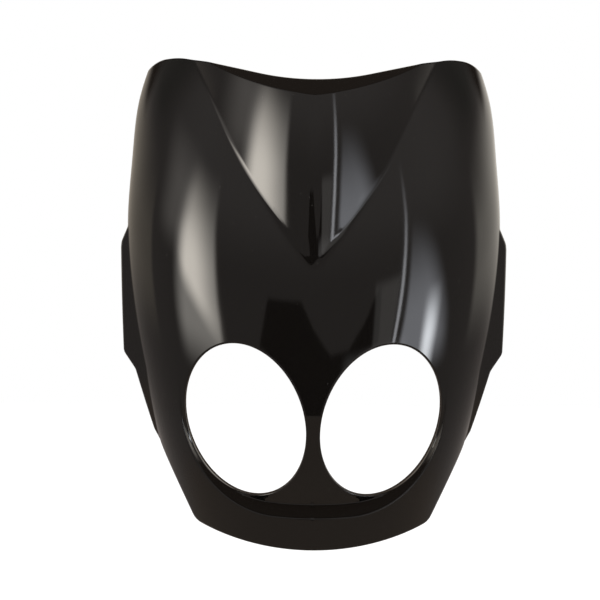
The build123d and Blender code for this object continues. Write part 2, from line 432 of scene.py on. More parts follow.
def flare_face(x, z, inset):
    crease_x, crease_y = flare_crease(z)
    face = crease_y + (np.abs(x) - crease_x) * FLARE_SLOPE + inset * sqrt(1 + FLARE_SLOPE**2)
    line = FLARE_TOP_HEIGHT - (np.abs(x) - FLARE_TOP_HALF_WIDTH) * FLARE_TOP_SLOPE
    over = (z - line + inset) / sqrt(1 + FLARE_TOP_SLOPE**2)
    under = np.maximum(FLARE_STATIONS[0][0] - z, 0.0)
    short = np.maximum(crease_x - FLARE_ROOT - np.abs(x), 0.0)
    ends = FLARE_TOP_STEEPNESS * np.maximum(over, 0.0) + FLARE_BOTTOM_STEEPNESS * under
    return face + ends + STEEP * short


def lip_face(x, z, inset):
    drop = inset / cos(LIP_ANGLE)
    return (z - LIP_EDGE_HEIGHT + drop) / tan(LIP_ANGLE) + LIP_EDGE_SETBACK - NOSE_DEPTH + 0 * x


def panel_face(x, z, inset=0.0):
    """Depth of the panel's skin behind each point of its front view, moved inwards by inset."""
    low = softer_max(body_face(x, z, inset), pocket_face(x, z, inset), LEDGE_EDGE_BLEND)
    front = softer_min(low, flare_face(x, z, inset), FLARE_BLEND)
    front = softer_min(front, crest_face(x, z, inset), CREST_BLEND)
    return softer_max(front, lip_face(x, z, inset), LIP_BLEND)


def face_normals(x, z, inset=0.0):
    """Unit normals that point forwards, out of the painted face."""
    d = SLOPE_PROBE
    slope_x = (panel_face(x + d, z, inset) - panel_face(x - d, z, inset)) / (2 * d)
    slope_z = (panel_face(x, z + d, inset) - panel_face(x, z - d, inset)) / (2 * d)
    return unit(np.stack([slope_x, -np.ones_like(slope_x), slope_z], 1))


def rounded_corner(before, corner, after, radius, step):
    """Points along the arc that rounds one corner of the outline."""
    corner = np.array(corner)
    towards = [(np.array(p) - corner) / np.linalg.norm(np.array(p) - corner) for p in (before, after)]
    half = 0.5 * np.arccos(np.clip(towards[0] @ towards[1], -1, 1))
    middle = towards[0] + towards[1]
    centre = corner + middle / np.linalg.norm(middle) * radius / sin(half)
    ends = [corner + t * radius / tan(half) - centre for t in towards]
    angles = [atan2(e[1], e[0]) for e in ends]
    sweep = (angles[1] - angles[0] + pi) % (2 * pi) - pi
    count = max(3, int(abs(sweep) * radius / step) + 1)
    turn = angles[0] + sweep * np.linspace(0, 1, count)
    return centre + radius * around(turn)


def chin_and_bottom(step):
    """The rounded chin corner and the right half of the bottom arc, down to the middle."""
    flank, chin = np.array(RIGHT_CORNERS[5][:2]), np.array(RIGHT_CORNERS[6][:2])
    radius = RIGHT_CORNERS[6][2]
    sag = chin[1] - BOTTOM_HEIGHT
    arc_radius = (chin[0] ** 2 + sag**2) / (2 * sag)
    arc_centre = np.array([0.0, BOTTOM_HEIGHT + arc_radius])
    along = (chin - flank) / np.linalg.norm(chin - flank)
    inwards = np.array([along[1], -along[0]])
    start = chin + inwards * radius - arc_centre
    b = start @ along
    back = -b + sqrt(b**2 - start @ start + (arc_radius - radius) ** 2)
    centre = chin + inwards * radius + along * back
    first = -inwards
    last = (centre - arc_centre) / np.linalg.norm(centre - arc_centre)
    a0, a1 = atan2(first[1], first[0]), atan2(last[1], last[0])
    count = max(4, int(abs(a1 - a0) * radius / step) + 1)
    turn = np.linspace(a0, a1, count)
    corner = centre + radius * around(turn)
    count = int(arc_radius * (a1 + pi / 2) / step) + 1
    turn = np.linspace(a1, -pi / 2, count)[1:]
    bottom = arc_centre + arc_radius * around(turn)
    return np.concatenate([corner, bottom])


def evenly_spaced(points, step, closed):
    """The same polyline with its points at even spacing."""
    if closed:
        points = np.concatenate([points, points[:1]])
    length = np.concatenate([[0], np.cumsum(np.linalg.norm(np.diff(points, axis=0), axis=1))])
    count = max(3, int(round(length[-1] / step)))
    at = np.linspace(0, length[-1], count + 1)
    if closed:
        at = at[:-1]
    return np.stack([np.interp(at, length, points[:, i]) for i in (0, 1)], 1)


def reach_at_rear(z):
    """Half width at which the body's face meets the rear edge, less a little room."""
    behind = body_setback(z) + BODY_DEPTH - NOSE_DEPTH - rear_edge(z) + REAR_ROOM
    share = np.clip(behind / BODY_DEPTH, 0.0, 1.0)
    return body_half_width(z) * np.sqrt(1 - share**2)


def panel_outline(step):
    """The outline seen from the front, clockwise from the top middle, as (x, z)."""
    fine = OUTLINE_STEP
    left_shoulder = (-RIGHT_CORNERS[0][0], RIGHT_CORNERS[0][1])
    valley = rounded_corner(left_shoulder, TOP_VALLEY[:2], RIGHT_CORNERS[0][:2], TOP_VALLEY[2], fine)
    right = [valley[valley[:, 0] >= 0]]
    corners = [TOP_VALLEY] + list(RIGHT_CORNERS)
    for before, (x, z, radius), after in zip(corners[:-2], corners[1:-1], corners[2:]):
        if radius:
            right.append(rounded_corner(before[:2], (x, z), after[:2], radius, fine))
        else:
            right.append(np.array([(x, z)]))
    right.append(chin_and_bottom(fine))
    right = np.concatenate(right)
    right = evenly_spaced(right, fine, False)
    x, z = right[:, 0], right[:, 1]
    line = FLARE_TOP_HALF_WIDTH + (FLARE_TOP_HEIGHT - z) / FLARE_TOP_SLOPE
    limit = np.where(z > 0, np.maximum(line, reach_at_rear(z)), np.inf)
    right[:, 0] = np.minimum(x, limit)
    right[0, 0] = right[-1, 0] = 0.0
    left = right[-2:0:-1] * (-1, 1)
    return evenly_spaced(np.concatenate([right, left]), step, True)


def lamp_outline(side, step):
    """One lamp opening seen from the front, as (x, z)."""
    count = int(2 * pi * LAMP_MEAN_RADIUS / step)
    turn = np.linspace(0, 2 * pi, count, endpoint=False)
    u, v = LAMP_HALF_BREADTH * np.cos(turn), LAMP_HALF_LENGTH * np.sin(turn)
    x = LAMP_OFFSET + u * cos(LAMP_LEAN) + v * sin(LAMP_LEAN)
    z = LAMP_HEIGHT - u * sin(LAMP_LEAN) + v * cos(LAMP_LEAN)
    return np.stack([side * x, z], 1)


def away_from_material(loop, filled_inside):
    """Unit directions square to the loop, pointing off the material."""
    along = np.roll(loop, -1, axis=0) - np.roll(loop, 1, axis=0)
    square = unit(np.stack([along[:, 1], -along[:, 0]], 1))
    return square if (signed_area(loop) > 0) == filled_inside else -square


def spread(points):
    """Front view points to the plane that the faces are laid out on, wider at the sides."""
    share = np.clip(points[:, 0] / spread_half_width(points[:, 1]), -1, 1)
    return np.stack([SPREAD_LENGTH * np.arcsin(share), points[:, 1]], 1)


def unspread(points):
    x = spread_half_width(points[:, 1]) * np.sin(points[:, 0] / SPREAD_LENGTH)
    return np.stack([x, points[:, 1]], 1)


def inside(points, loop):
    """Which points lie inside the closed loop."""
    x, z = points[:, 0], points[:, 1]
    found = np.zeros(len(points), bool)
    for (x0, z0), (x1, z1) in zip(loop, np.roll(loop, -1, axis=0)):
        if z0 != z1:
            crosses = (z0 > z) != (z1 > z)
            found ^= crosses & (x < x0 + (z - z0) * (x1 - x0) / (z1 - z0))
    return found


def traced_crossing(difference, starts, ends):
    """Points between starts and ends where the difference of two depths is zero."""
    low, high = starts.copy(), ends.copy()
    sign = np.sign(difference(low))
    good = sign != np.sign(difference(high))
    for _ in range(HALVINGS):
        middle = (low + high) / 2
        same = np.sign(difference(middle)) == sign
        low[same] = middle[same]
        high[~same] = middle[~same]
    return low[good]


def traced_round(face, other, look):
    """Where two faces cross, looked for outwards from a centre, from straight below to the right."""
    height, last_turn, count, nearest, furthest = look
    turn = np.linspace(-pi / 2, last_turn, count)
    centre = np.array([0.0, height])
    reach = around(turn)

    def difference(points):
        x, z = points[:, 0], points[:, 1]
        return face(x, z, 0) - other(x, z, 0)

    return traced_crossing(difference, centre + nearest * reach, centre + furthest * reach)


def lip_edge():
    """The front edge of the top lip, from the middle to the right."""
    half_width, count, lowest, highest = LIP_LOOK
    across = np.linspace(0, half_width, count)

    def difference(points):
        x, z = points[:, 0], points[:, 1]
        return np.minimum(body_face(x, z, 0), crest_face(x, z, 0)) - lip_face(x, z, 0)

    low = np.stack([across, np.full_like(across, lowest)], 1)
    high = np.stack([across, np.full_like(across, highest)], 1)
    return traced_crossing(difference, low, high)


def flare_line():
    """Where the flare leaves the body, from its foot to its top."""
    z = np.arange(*FLARE_LINE_HEIGHTS, ROW_STEP)
    return np.stack([flare_crease(z)[0], z], 1)


def flare_top_line():
    x = np.linspace(*FLARE_TOP_LINE)
    return np.stack([x, FLARE_TOP_HEIGHT - (x - FLARE_TOP_HALF_WIDTH) * FLARE_TOP_SLOPE], 1)


def rows_beside(line, offsets):
    """Rows of points along a line and beside it, on both halves of the panel."""
    line = evenly_spaced(line, ROW_STEP, False)
    along = np.gradient(line, axis=0)
    along /= np.linalg.norm(along, axis=1, keepdims=True) + TINY
    square = np.stack([along[:, 1], -along[:, 0]], 1)
    rows = []
    for offset in offsets:
        row = line + square * offset
        row = row[row[:, 0] >= MIDDLE_CLEARANCE]
        rows += [row, row * (-1, 1)]
    return rows


def feature_rows():
    """Rows of points that follow each line where two faces meet."""
    rows = rows_beside(traced_round(body_face, crest_face, CREST_LOOK), CREST_ROWS)
    rows += rows_beside(lip_edge(), LIP_ROWS)
    rows += rows_beside(traced_round(body_face, pocket_ledge, LEDGE_LOOK), LEDGE_EDGE_ROWS)
    rows += rows_beside(traced_round(pocket_floor, pocket_ledge, LEDGE_LOOK), LEDGE_FOOT_ROWS)
    rows += rows_beside(flare_line(), FLARE_ROWS)
    rows += rows_beside(flare_top_line(), FLARE_TOP_ROWS)
    return rows


def near_any(points, others, distance):
    tree = KDTree(len(others))
    for i, (x, z) in enumerate(others):
        tree.insert((x, z, 0), i)
    tree.balance()
    return np.array([tree.find((x, z, 0))[2] < distance for x, z in points])


def meshed_sheet(loops, rows, step):
    """Triangles that fill the first loop less the others. Loops and rows are front view points.

    Returns the front view points, the triangles, and for each loop the numbers of its points.
    """
    flat_loops = [spread(loop) for loop in loops]
    rim = np.concatenate(flat_loops)

    def in_material(points):
        found = inside(points, flat_loops[0])
        for hole in flat_loops[1:]:
            found &= ~inside(points, hole)
        return found

    points = [tuple(p) for loop in flat_loops for p in loop]
    edges, first = [], 0
    for loop in flat_loops:
        count = len(loop)
        edges += [(first + i, first + (i + 1) % count) for i in range(count)]
        first += count
    kept_rows = []
    for row in rows:
        row = spread(row)
        if len(row) < 2:
            continue
        keep = in_material(row) & ~near_any(row, rim, RIM_CLEARANCE * step)
        if kept_rows:
            keep &= ~near_any(row, np.concatenate(kept_rows), ROW_CLEARANCE)
        numbers = np.cumsum(keep) - 1 + len(points)
        edges += [
            (int(numbers[i]), int(numbers[i + 1])) for i in range(len(row) - 1) if keep[i] and keep[i + 1]
        ]
        points += [tuple(p) for p in row[keep]]
        if keep.any():
            kept_rows.append(row[keep])
    taken = np.concatenate([rim] + kept_rows)
    low, high = flat_loops[0].min(0), flat_loops[0].max(0)
    rise = step * sqrt(3) / 2
    grid = []
    for i, z in enumerate(np.arange(low[1], high[1], rise)):
        u = np.arange(low[0] + (i % 2) * step / 2, high[0], step)
        grid.append(np.stack([u, np.full_like(u, z)], 1))
    grid = np.concatenate(grid)
    grid = grid[in_material(grid)]
    grid = grid[~near_any(grid, taken, GRID_CLEARANCE * step)]
    points += [tuple(p) for p in grid]
    points = [Vector(p) for p in points]
    found, _, faces, origin, _, _ = delaunay_2d_cdt(points, edges, [], 0, MERGE_DISTANCE, True)
    flat = np.array([tuple(p) for p in found])
    faces = np.array(faces)
    faces = faces[in_material(flat[faces].mean(1))]
    number = {}
    for new, olds in enumerate(origin):
        for old in olds:
            number[old] = new
    rims, first = [], 0
    for loop in flat_loops:
        rims.append(np.array([number[first + i] for i in range(len(loop))]))
        first += len(loop)
    return unspread(flat), faces, rims


class Shell:
    """Points, normals and faces of one closed shell, gathered sheet by sheet."""

    def __init__(self):
        self.points, self.normals, self.faces, self.finishes = [], [], [], []
        self.count = 0

    def add_points(self, x, y, z, normals):
        self.points.append(np.stack([x, y, z], 1))
        self.normals.append(normals)
        numbers = np.arange(self.count, self.count + len(x))
        self.count += len(x)
        return numbers

    def add_faces(self, faces, finish):
        self.faces += [tuple(int(i) for i in f) for f in faces]
        self.finishes += [finish] * len(faces)

    def add_strip(self, a, b, finish, turned):
        a1, b1 = np.roll(a, -1), np.roll(b, -1)
        quads = np.stack([a, a1, b1, b], 1)
        self.add_faces(quads[:, ::-1] if turned else quads, finish)

    def mesh(self, name):
        points = np.concatenate(self.points) * MM
        normals = np.concatenate(self.normals)
        mesh = bpy.data.meshes.new(name)
        mesh.from_pydata(points.tolist(), [], self.faces)
        mesh.polygons.foreach_set("material_index", self.finishes)
        mesh.polygons.foreach_set("use_smooth", [True] * len(self.faces))
        mesh.update()
        mesh.normals_split_custom_set_from_vertices(normals.tolist())
        return mesh


def blended(a, b, share):
    return unit(a * (1 - share) + b * share)


def add_sheet(shell, loops, rows, step, inset, finish):
    """One skin of the shell, and its rims."""
    flat, faces, rims = meshed_sheet(loops, rows, step)
    x, z = flat[:, 0], flat[:, 1]
    normals = face_normals(x, z, inset)
    if inset:
        normals = -normals
    numbers = shell.add_points(x, np.maximum(panel_face(x, z, inset), FOREMOST), z, normals)
    a, b, c = (flat[faces[:, i]] for i in range(3))
    ab, ac = b - a, c - a
    upright = ab[:, 0] * ac[:, 1] - ab[:, 1] * ac[:, 0] > 0
    forward = upright if not inset else ~upright
    faces = np.where(forward[:, None], faces, faces[:, ::-1])
    shell.add_faces(numbers[faces], finish)
    return [numbers[rim] for rim in rims]


def add_rim(shell, loop, off, radius, end, skin_rim, back_rim):
    """The rounded edge, the return and the back of the return, from one skin to the other."""
    x, z = loop[:, 0], loop[:, 1]
    edge = panel_face(x, z)
    start = loop - radius * off
    start_y = panel_face(start[:, 0], start[:, 1])
    front = face_normals(start[:, 0], start[:, 1])
    outwards = np.stack([off[:, 0], 0 * x, off[:, 1]], 1)
    rearwards = np.tile([0.0, 1.0, 0.0], (len(x), 1))
    end = np.maximum(end, edge + radius + LEAST_RETURN)
    c, part = INNER_EDGE_RADIUS, INNER_EDGE_RADIUS * CORNER_SHARE
    rings = []

    def ring(point, y, normal):
        rings.append(shell.add_points(point[:, 0], y, point[:, 1], normal))

    for t in (0.25, 0.5, 0.75, 1.0):
        k0, k1, k2 = (1 - t) ** 2, 2 * t * (1 - t), t**2
        point = k0 * start + (k1 + k2) * loop
        ring(point, k0 * start_y + k1 * edge + k2 * (edge + radius), blended(front, outwards, t))
    top = edge + radius
    ring(loop, top + 0.5 * (end - c - top), outwards)
    ring(loop, end - c, outwards)
    ring(loop - part * off, end - part, blended(outwards, rearwards, 0.5))
    ring(loop - c * off, end, rearwards)
    ring(loop - (WALL - c) * off, end, rearwards)
    ring(loop - (WALL - part) * off, end - part, blended(-outwards, rearwards, 0.5))
    ring(loop - WALL * off, end - c, -outwards)
    inner = loop - WALL * off
    foot = loop - (WALL + c) * off
    inner_y = panel_face(inner[:, 0], inner[:, 1], WALL)
    back = -face_normals(foot[:, 0], foot[:, 1], WALL)
    root = np.minimum(inner_y + c, end - c - ROOT_CLEARANCE)
    ring(inner, root, blended(-outwards, back, ROOT_TURN))
    outer_side = (off * (loop - loop.mean(0))).sum() > 0
    turned = (signed_area(loop) > 0) == outer_side
    chain = [skin_rim] + rings + [back_rim]
    finishes = [GLOSS] * RETURN_STRIPS + [SATIN] * (len(chain) - 1 - RETURN_STRIPS)
    for a, b, finish in zip(chain, chain[1:], finishes):
        shell.add_strip(a, b, finish, turned)


def outline_end(loop):
    """Depth at which the return round the outline ends."""
    x, z = loop[:, 0], loop[:, 1]
    return np.minimum(np.minimum(body_face(x, z, EDGE_RETURN), rear_edge(z)), REARMOST)


def lamp_end(loop):
    return pocket_floor(loop[:, 0], loop[:, 1], LAMP_RETURN)


def front_panel_shell():
    """The whole moulded shell: painted face, returns round the outline and lamps, and back."""
    shell = Shell()
    loops = [panel_outline(LOOP_STEP), lamp_outline(1, LOOP_STEP), lamp_outline(-1, LOOP_STEP)]
    offs = [away_from_material(loop, i == 0) for i, loop in enumerate(loops)]
    radii = [OUTLINE_EDGE_RADIUS, LAMP_EDGE_RADIUS, LAMP_EDGE_RADIUS]
    ends = [outline_end(loops[0]), lamp_end(loops[1]), lamp_end(loops[2])]
    skin_loops = [loop - r * off for loop, off, r in zip(loops, offs, radii)]
    back_loops = [loop - (WALL + INNER_EDGE_RADIUS) * off for loop, off in zip(loops, offs)]
    rows = feature_rows()
    skin = add_sheet(shell, skin_loops, rows, FACE_STEP, 0.0, GLOSS)
    back = add_sheet(shell, back_loops, [], BACK_STEP, WALL, SATIN)
    for args in zip(loops, offs, radii, ends, skin, back):
        add_rim(shell, *args)
    return shell.mesh("front_panel_shell")


def boss_rings(pilot_radius, pilot_depth):
    """Rings of a boss from the bottom of its pilot hole, over its seat, down to its foot.

    A ring is its points as (x, z), its depth below the seat, and its rise off the shell.
    """
    turn = np.linspace(0, 2 * pi, BOSS_SIDES, endpoint=False)
    circle = around(turn)
    part = CORNER_SHARE * TOP_ROUND
    profile = [
        (pilot_radius, pilot_depth, HIDDEN), (pilot_radius, SEAT_CHAMFER, HIDDEN),
        (pilot_radius + SEAT_CHAMFER, 0.0, HIDDEN), (BOSS_RADIUS - TOP_ROUND, 0.0, HIDDEN),
        (BOSS_RADIUS - part, part, HIDDEN), (BOSS_RADIUS, TOP_ROUND, HIDDEN),
    ]
    profile += [(BOSS_RADIUS + out, FOOT_DEPTH, rise) for out, rise in FOOT]
    return [(circle * radius, depth, rise) for radius, depth, rise in profile]


def rib_rings(low, high, upright):
    """Rings of one rib, from low to high along its length, between its top edge and its foot."""
    count = int((high - low) / RIB_SPACING) + 1
    half = RIB_THICKNESS / 2
    part = CORNER_SHARE * TOP_ROUND
    profile = [
        (-TOP_ROUND, RIB_STEP, HIDDEN), (-part, RIB_STEP + part, HIDDEN),
        (0.0, RIB_STEP + TOP_ROUND, HIDDEN),
    ]
    profile += [(out, FOOT_DEPTH, rise) for out, rise in FOOT]
    rings = []
    for out, depth, rise in profile:
        along = np.linspace(low - out, high + out, count)
        across = np.full(count, half + out)
        side = np.concatenate([np.stack([along, -across], 1), np.stack([along[::-1], across], 1)])
        rings.append((side[:, ::-1] * (-1, 1) if upright else side, depth, rise))
    return rings


def boss_template(name, pilot_radius, pilot_depth, rib_length, side_rib_length):
    """One boss with its ribs: seat at the origin, foot towards -Y, and each point's rise kept."""
    parts = (
        boss_rings(pilot_radius, pilot_depth), rib_rings(0.0, side_rib_length, False),
        rib_rings(-rib_length, rib_length, True),
    )
    points, rises, faces = [], [], []
    for rings in parts:
        count = len(rings[0][0])
        first = len(points)
        for ring, depth, rise in rings:
            points += [(x * MM, -depth * MM, z * MM) for x, z in ring]
            rises += [rise * MM] * count
        for i in range(len(rings) - 1):
            a, b = first + i * count, first + (i + 1) * count
            faces += [(a + j, a + (j + 1) % count, b + (j + 1) % count, b + j) for j in range(count)]
        faces.append(tuple(range(first + count - 1, first - 1, -1)))
        last = first + (len(rings) - 1) * count
        faces.append(tuple(range(last, last + count)))
    mesh = bpy.data.meshes.new(name)
    mesh.from_pydata(points, [], faces)
    shape = bmesh.new()
    shape.from_mesh(mesh)
    bmesh.ops.recalc_face_normals(shape, faces=shape.faces)
    for face in shape.faces:
        face.smooth = True
    for edge in shape.edges:
        edge.smooth = edge.calc_face_angle(0.0) < SHARP_ANGLE
    shape.to_mesh(mesh)
    shape.free()
    mesh.attributes.new("rise", "FLOAT", "POINT").data.foreach_set("value", rises)
    return mesh


def new_group(name, inputs, outputs):
    """A shader node group with named number inputs and named number outputs."""
    group = bpy.data.node_groups.new(name, "ShaderNodeTree")
    for label, value in inputs:
        socket = group.interface.new_socket(label, in_out="INPUT", socket_type="NodeSocketFloat")
        socket.default_value = value
    for label in outputs:
        group.interface.new_socket(label, in_out="OUTPUT", socket_type="NodeSocketFloat")
    return group, group.nodes.new("NodeGroupInput"), group.nodes.new("NodeGroupOutput")


def add_node(tree, kind, feeds=None, **settings):
    """A node with its settings, in_3=1.0 for its socket 3, and what feeds its sockets."""
    node = tree.nodes.new(kind)
    for key, value in settings.items():
        if key.startswith("in_"):
            node.inputs[int(key[3:])].default_value = value
        else:
            setattr(node, key, value)
    for socket, source in (feeds or {}).items():
        tree.links.new(source, node.inputs[socket])
    return node


def boss_tree():
    """Bosses set on their seats, with their feet let down along -Y onto the back of the shell."""
    tree = bpy.data.node_groups.new("screw_bosses", "GeometryNodeTree")
    sockets = {
        label: tree.interface.new_socket(label, in_out="INPUT", socket_type=kind).identifier
        for label, kind in BOSS_INPUTS
    }
    tree.interface.new_socket("Bosses", in_out="OUTPUT", socket_type="NodeSocketGeometry")
    given, result = tree.nodes.new("NodeGroupInput").outputs, tree.nodes.new("NodeGroupOutput")

    def made(kind, feeds=None, **settings):
        return add_node(tree, kind, feeds, **settings).outputs

    boss = made("GeometryNodeObjectInfo", {"Object": given["Boss"]})
    shell = made("GeometryNodeObjectInfo", {"Object": given["Shell"]})
    seat = made("ShaderNodeSeparateXYZ", {0: made("GeometryNodeInputPosition")[0]})
    left = made("ShaderNodeMath", {0: seat["X"]}, operation="LESS_THAN", in_1=0.0)
    half_turn = made("ShaderNodeMath", {0: left[0]}, operation="MULTIPLY", in_1=pi)
    turn = made("ShaderNodeCombineXYZ", {"Y": half_turn[0]})
    on_seats = {"Points": given["Seats"], "Instance": boss["Geometry"], "Rotation": turn[0]}
    placed = made("GeometryNodeInstanceOnPoints", on_seats)
    real = made("GeometryNodeRealizeInstances", {0: placed[0]})
    point = made("ShaderNodeSeparateXYZ", {0: made("GeometryNodeInputPosition")[0]})
    start = made("ShaderNodeCombineXYZ", {"X": point["X"], "Y": given["Start Depth"], "Z": point["Z"]})
    aim = {"Target Geometry": shell["Geometry"], "Source Position": start[0]}
    ray = add_node(tree, "GeometryNodeRaycast", aim)
    ray.inputs["Ray Direction"].default_value = (0, -1, 0)
    ray.inputs["Ray Length"].default_value = RAY_LENGTH * MM
    met = made("ShaderNodeSeparateXYZ", {0: ray.outputs["Hit Position"]})
    rise = made("GeometryNodeInputNamedAttribute", data_type="FLOAT", in_0="rise")
    lift = {0: rise["Attribute"], 1: given["Foot Size"], 2: met["Y"]}
    foot = made("ShaderNodeMath", lift, operation="MULTIPLY_ADD")
    depth = made("ShaderNodeMath", {0: point["Y"], 1: foot[0]}, operation="MAXIMUM")
    moved = made("ShaderNodeCombineXYZ", {"X": point["X"], "Y": depth[0], "Z": point["Z"]})
    landed = made("GeometryNodeSetPosition", {"Geometry": real[0], "Position": moved[0]})
    finished = made("GeometryNodeSetMaterial", {"Geometry": landed[0], "Material": given["Finish"]})
    tree.links.new(finished[0], result.inputs["Bosses"])
    return tree, sockets


def boss_piece(name, tree, sockets, seats, sizes, shell, finish):
    """A plain mesh of the bosses on these seats and on their mirror images."""
    scene_objects = bpy.context.scene.collection.objects
    template = bpy.data.objects.new(name + "_template", boss_template(name + "_template", *sizes))
    points = [(side * x * MM, y * MM, z * MM) for x, y, z in seats for side in (1, -1)]
    places = bpy.data.meshes.new(name + "_seats")
    places.from_pydata(points, [], [])
    maker = bpy.data.objects.new(name + "_seats", places)
    scene_objects.link(template)
    scene_objects.link(maker)
    modifier = maker.modifiers.new("bosses", "NODES")
    modifier.node_group = tree
    values = {
        "Boss": template, "Shell": shell, "Start Depth": BEHIND * MM, "Foot Size": 1.0, "Finish": finish,
    }
    for label, value in values.items():
        modifier[sockets[label]] = value
    bpy.context.view_layer.update()
    made = maker.evaluated_get(bpy.context.evaluated_depsgraph_get())
    mesh = bpy.data.meshes.new_from_object(made)
    maker.modifiers.remove(modifier)
    for helper in (maker, template):
        bpy.data.objects.remove(helper)
    piece = bpy.data.objects.new(name, mesh)
    scene_objects.link(piece)
    return piece


def moulding_group():
    """Slow waves of moulded plastic, fine surface grain and specks of dust, from Object coordinates."""
    inputs = zip(SURFACE_INPUTS, GLOSS_BLACK["surface"])
    group, given, result = new_group("moulded_surface", inputs, ("Height", "Dust Mask", "Cloud"))
    given = given.outputs
    place = add_node(group, "ShaderNodeTexCoord").outputs["Object"]

    def made(kind, feeds, **settings):
        return add_node(group, kind, feeds, **settings).outputs

    wave = made("ShaderNodeTexNoise", {"Vector": place, "Scale": given["Wave Size"]}, in_3=WAVE_DETAIL)
    grain = made("ShaderNodeTexNoise", {"Vector": place, "Scale": given["Grain Size"]}, in_3=GRAIN_DETAIL)
    specks = made("ShaderNodeTexVoronoi", {"Vector": place}, in_2=SPECK_SCALE)
    cloud = made("ShaderNodeTexNoise", {"Vector": place}, in_2=CLOUD_SCALE, in_3=CLOUD_DETAIL)
    waves = made("ShaderNodeMath", {0: wave["Fac"], 1: given["Wave Height"]}, operation="MULTIPLY")
    both_heights = {0: grain["Fac"], 1: given["Grain Height"], 2: waves[0]}
    height = made("ShaderNodeMath", both_heights, operation="MULTIPLY_ADD")
    near = made("ShaderNodeMath", {0: specks["Distance"]}, operation="LESS_THAN", in_1=SPECK_RADIUS)
    drawn = made("ShaderNodeSeparateColor", {0: specks["Color"]})
    chosen = made("ShaderNodeMath", {0: drawn[0], 1: given["Dust"]}, operation="LESS_THAN")
    dust = made("ShaderNodeMath", {0: near[0], 1: chosen[0]}, operation="MULTIPLY")
    for label, source in (("Height", height[0]), ("Dust Mask", dust[0]), ("Cloud", cloud["Fac"])):
        group.links.new(source, result.inputs[label])
    return group


def plastic(name, group, dark, pale, roughness, bump, surface):
    """Moulded plastic: colour and roughness drift a little, and dust and grain lie on the surface."""
    material = bpy.data.materials.new(name)
    material.use_nodes = True
    tree = material.node_tree
    moulded = add_node(tree, "ShaderNodeGroup", node_tree=group)
    for label, value in zip(SURFACE_INPUTS, surface):
        moulded.inputs[label].default_value = value
    cloud, dust, height = (moulded.outputs[label] for label in ("Cloud", "Dust Mask", "Height"))
    drift = add_node(tree, "ShaderNodeMix", {0: cloud}, data_type="RGBA", in_6=(*dark, 1), in_7=(*pale, 1))
    layers = {0: dust, 6: drift.outputs[2]}
    dusted = add_node(tree, "ShaderNodeMix", layers, data_type="RGBA", in_7=(*DUST_COLOUR, 1))
    rough = add_node(tree, "ShaderNodeMapRange", {0: cloud}, in_3=roughness[0], in_4=roughness[1])
    relief = add_node(tree, "ShaderNodeBump", {"Height": height})
    relief.inputs["Strength"].default_value = bump
    relief.inputs["Distance"].default_value = MM
    finish = tree.nodes["Principled BSDF"].inputs
    tree.links.new(dusted.outputs[2], finish["Base Color"])
    tree.links.new(rough.outputs[0], finish["Roughness"])
    tree.links.new(relief.outputs[0], finish["Normal"])
    finish["IOR"].default_value = PLASTIC_IOR
    return material


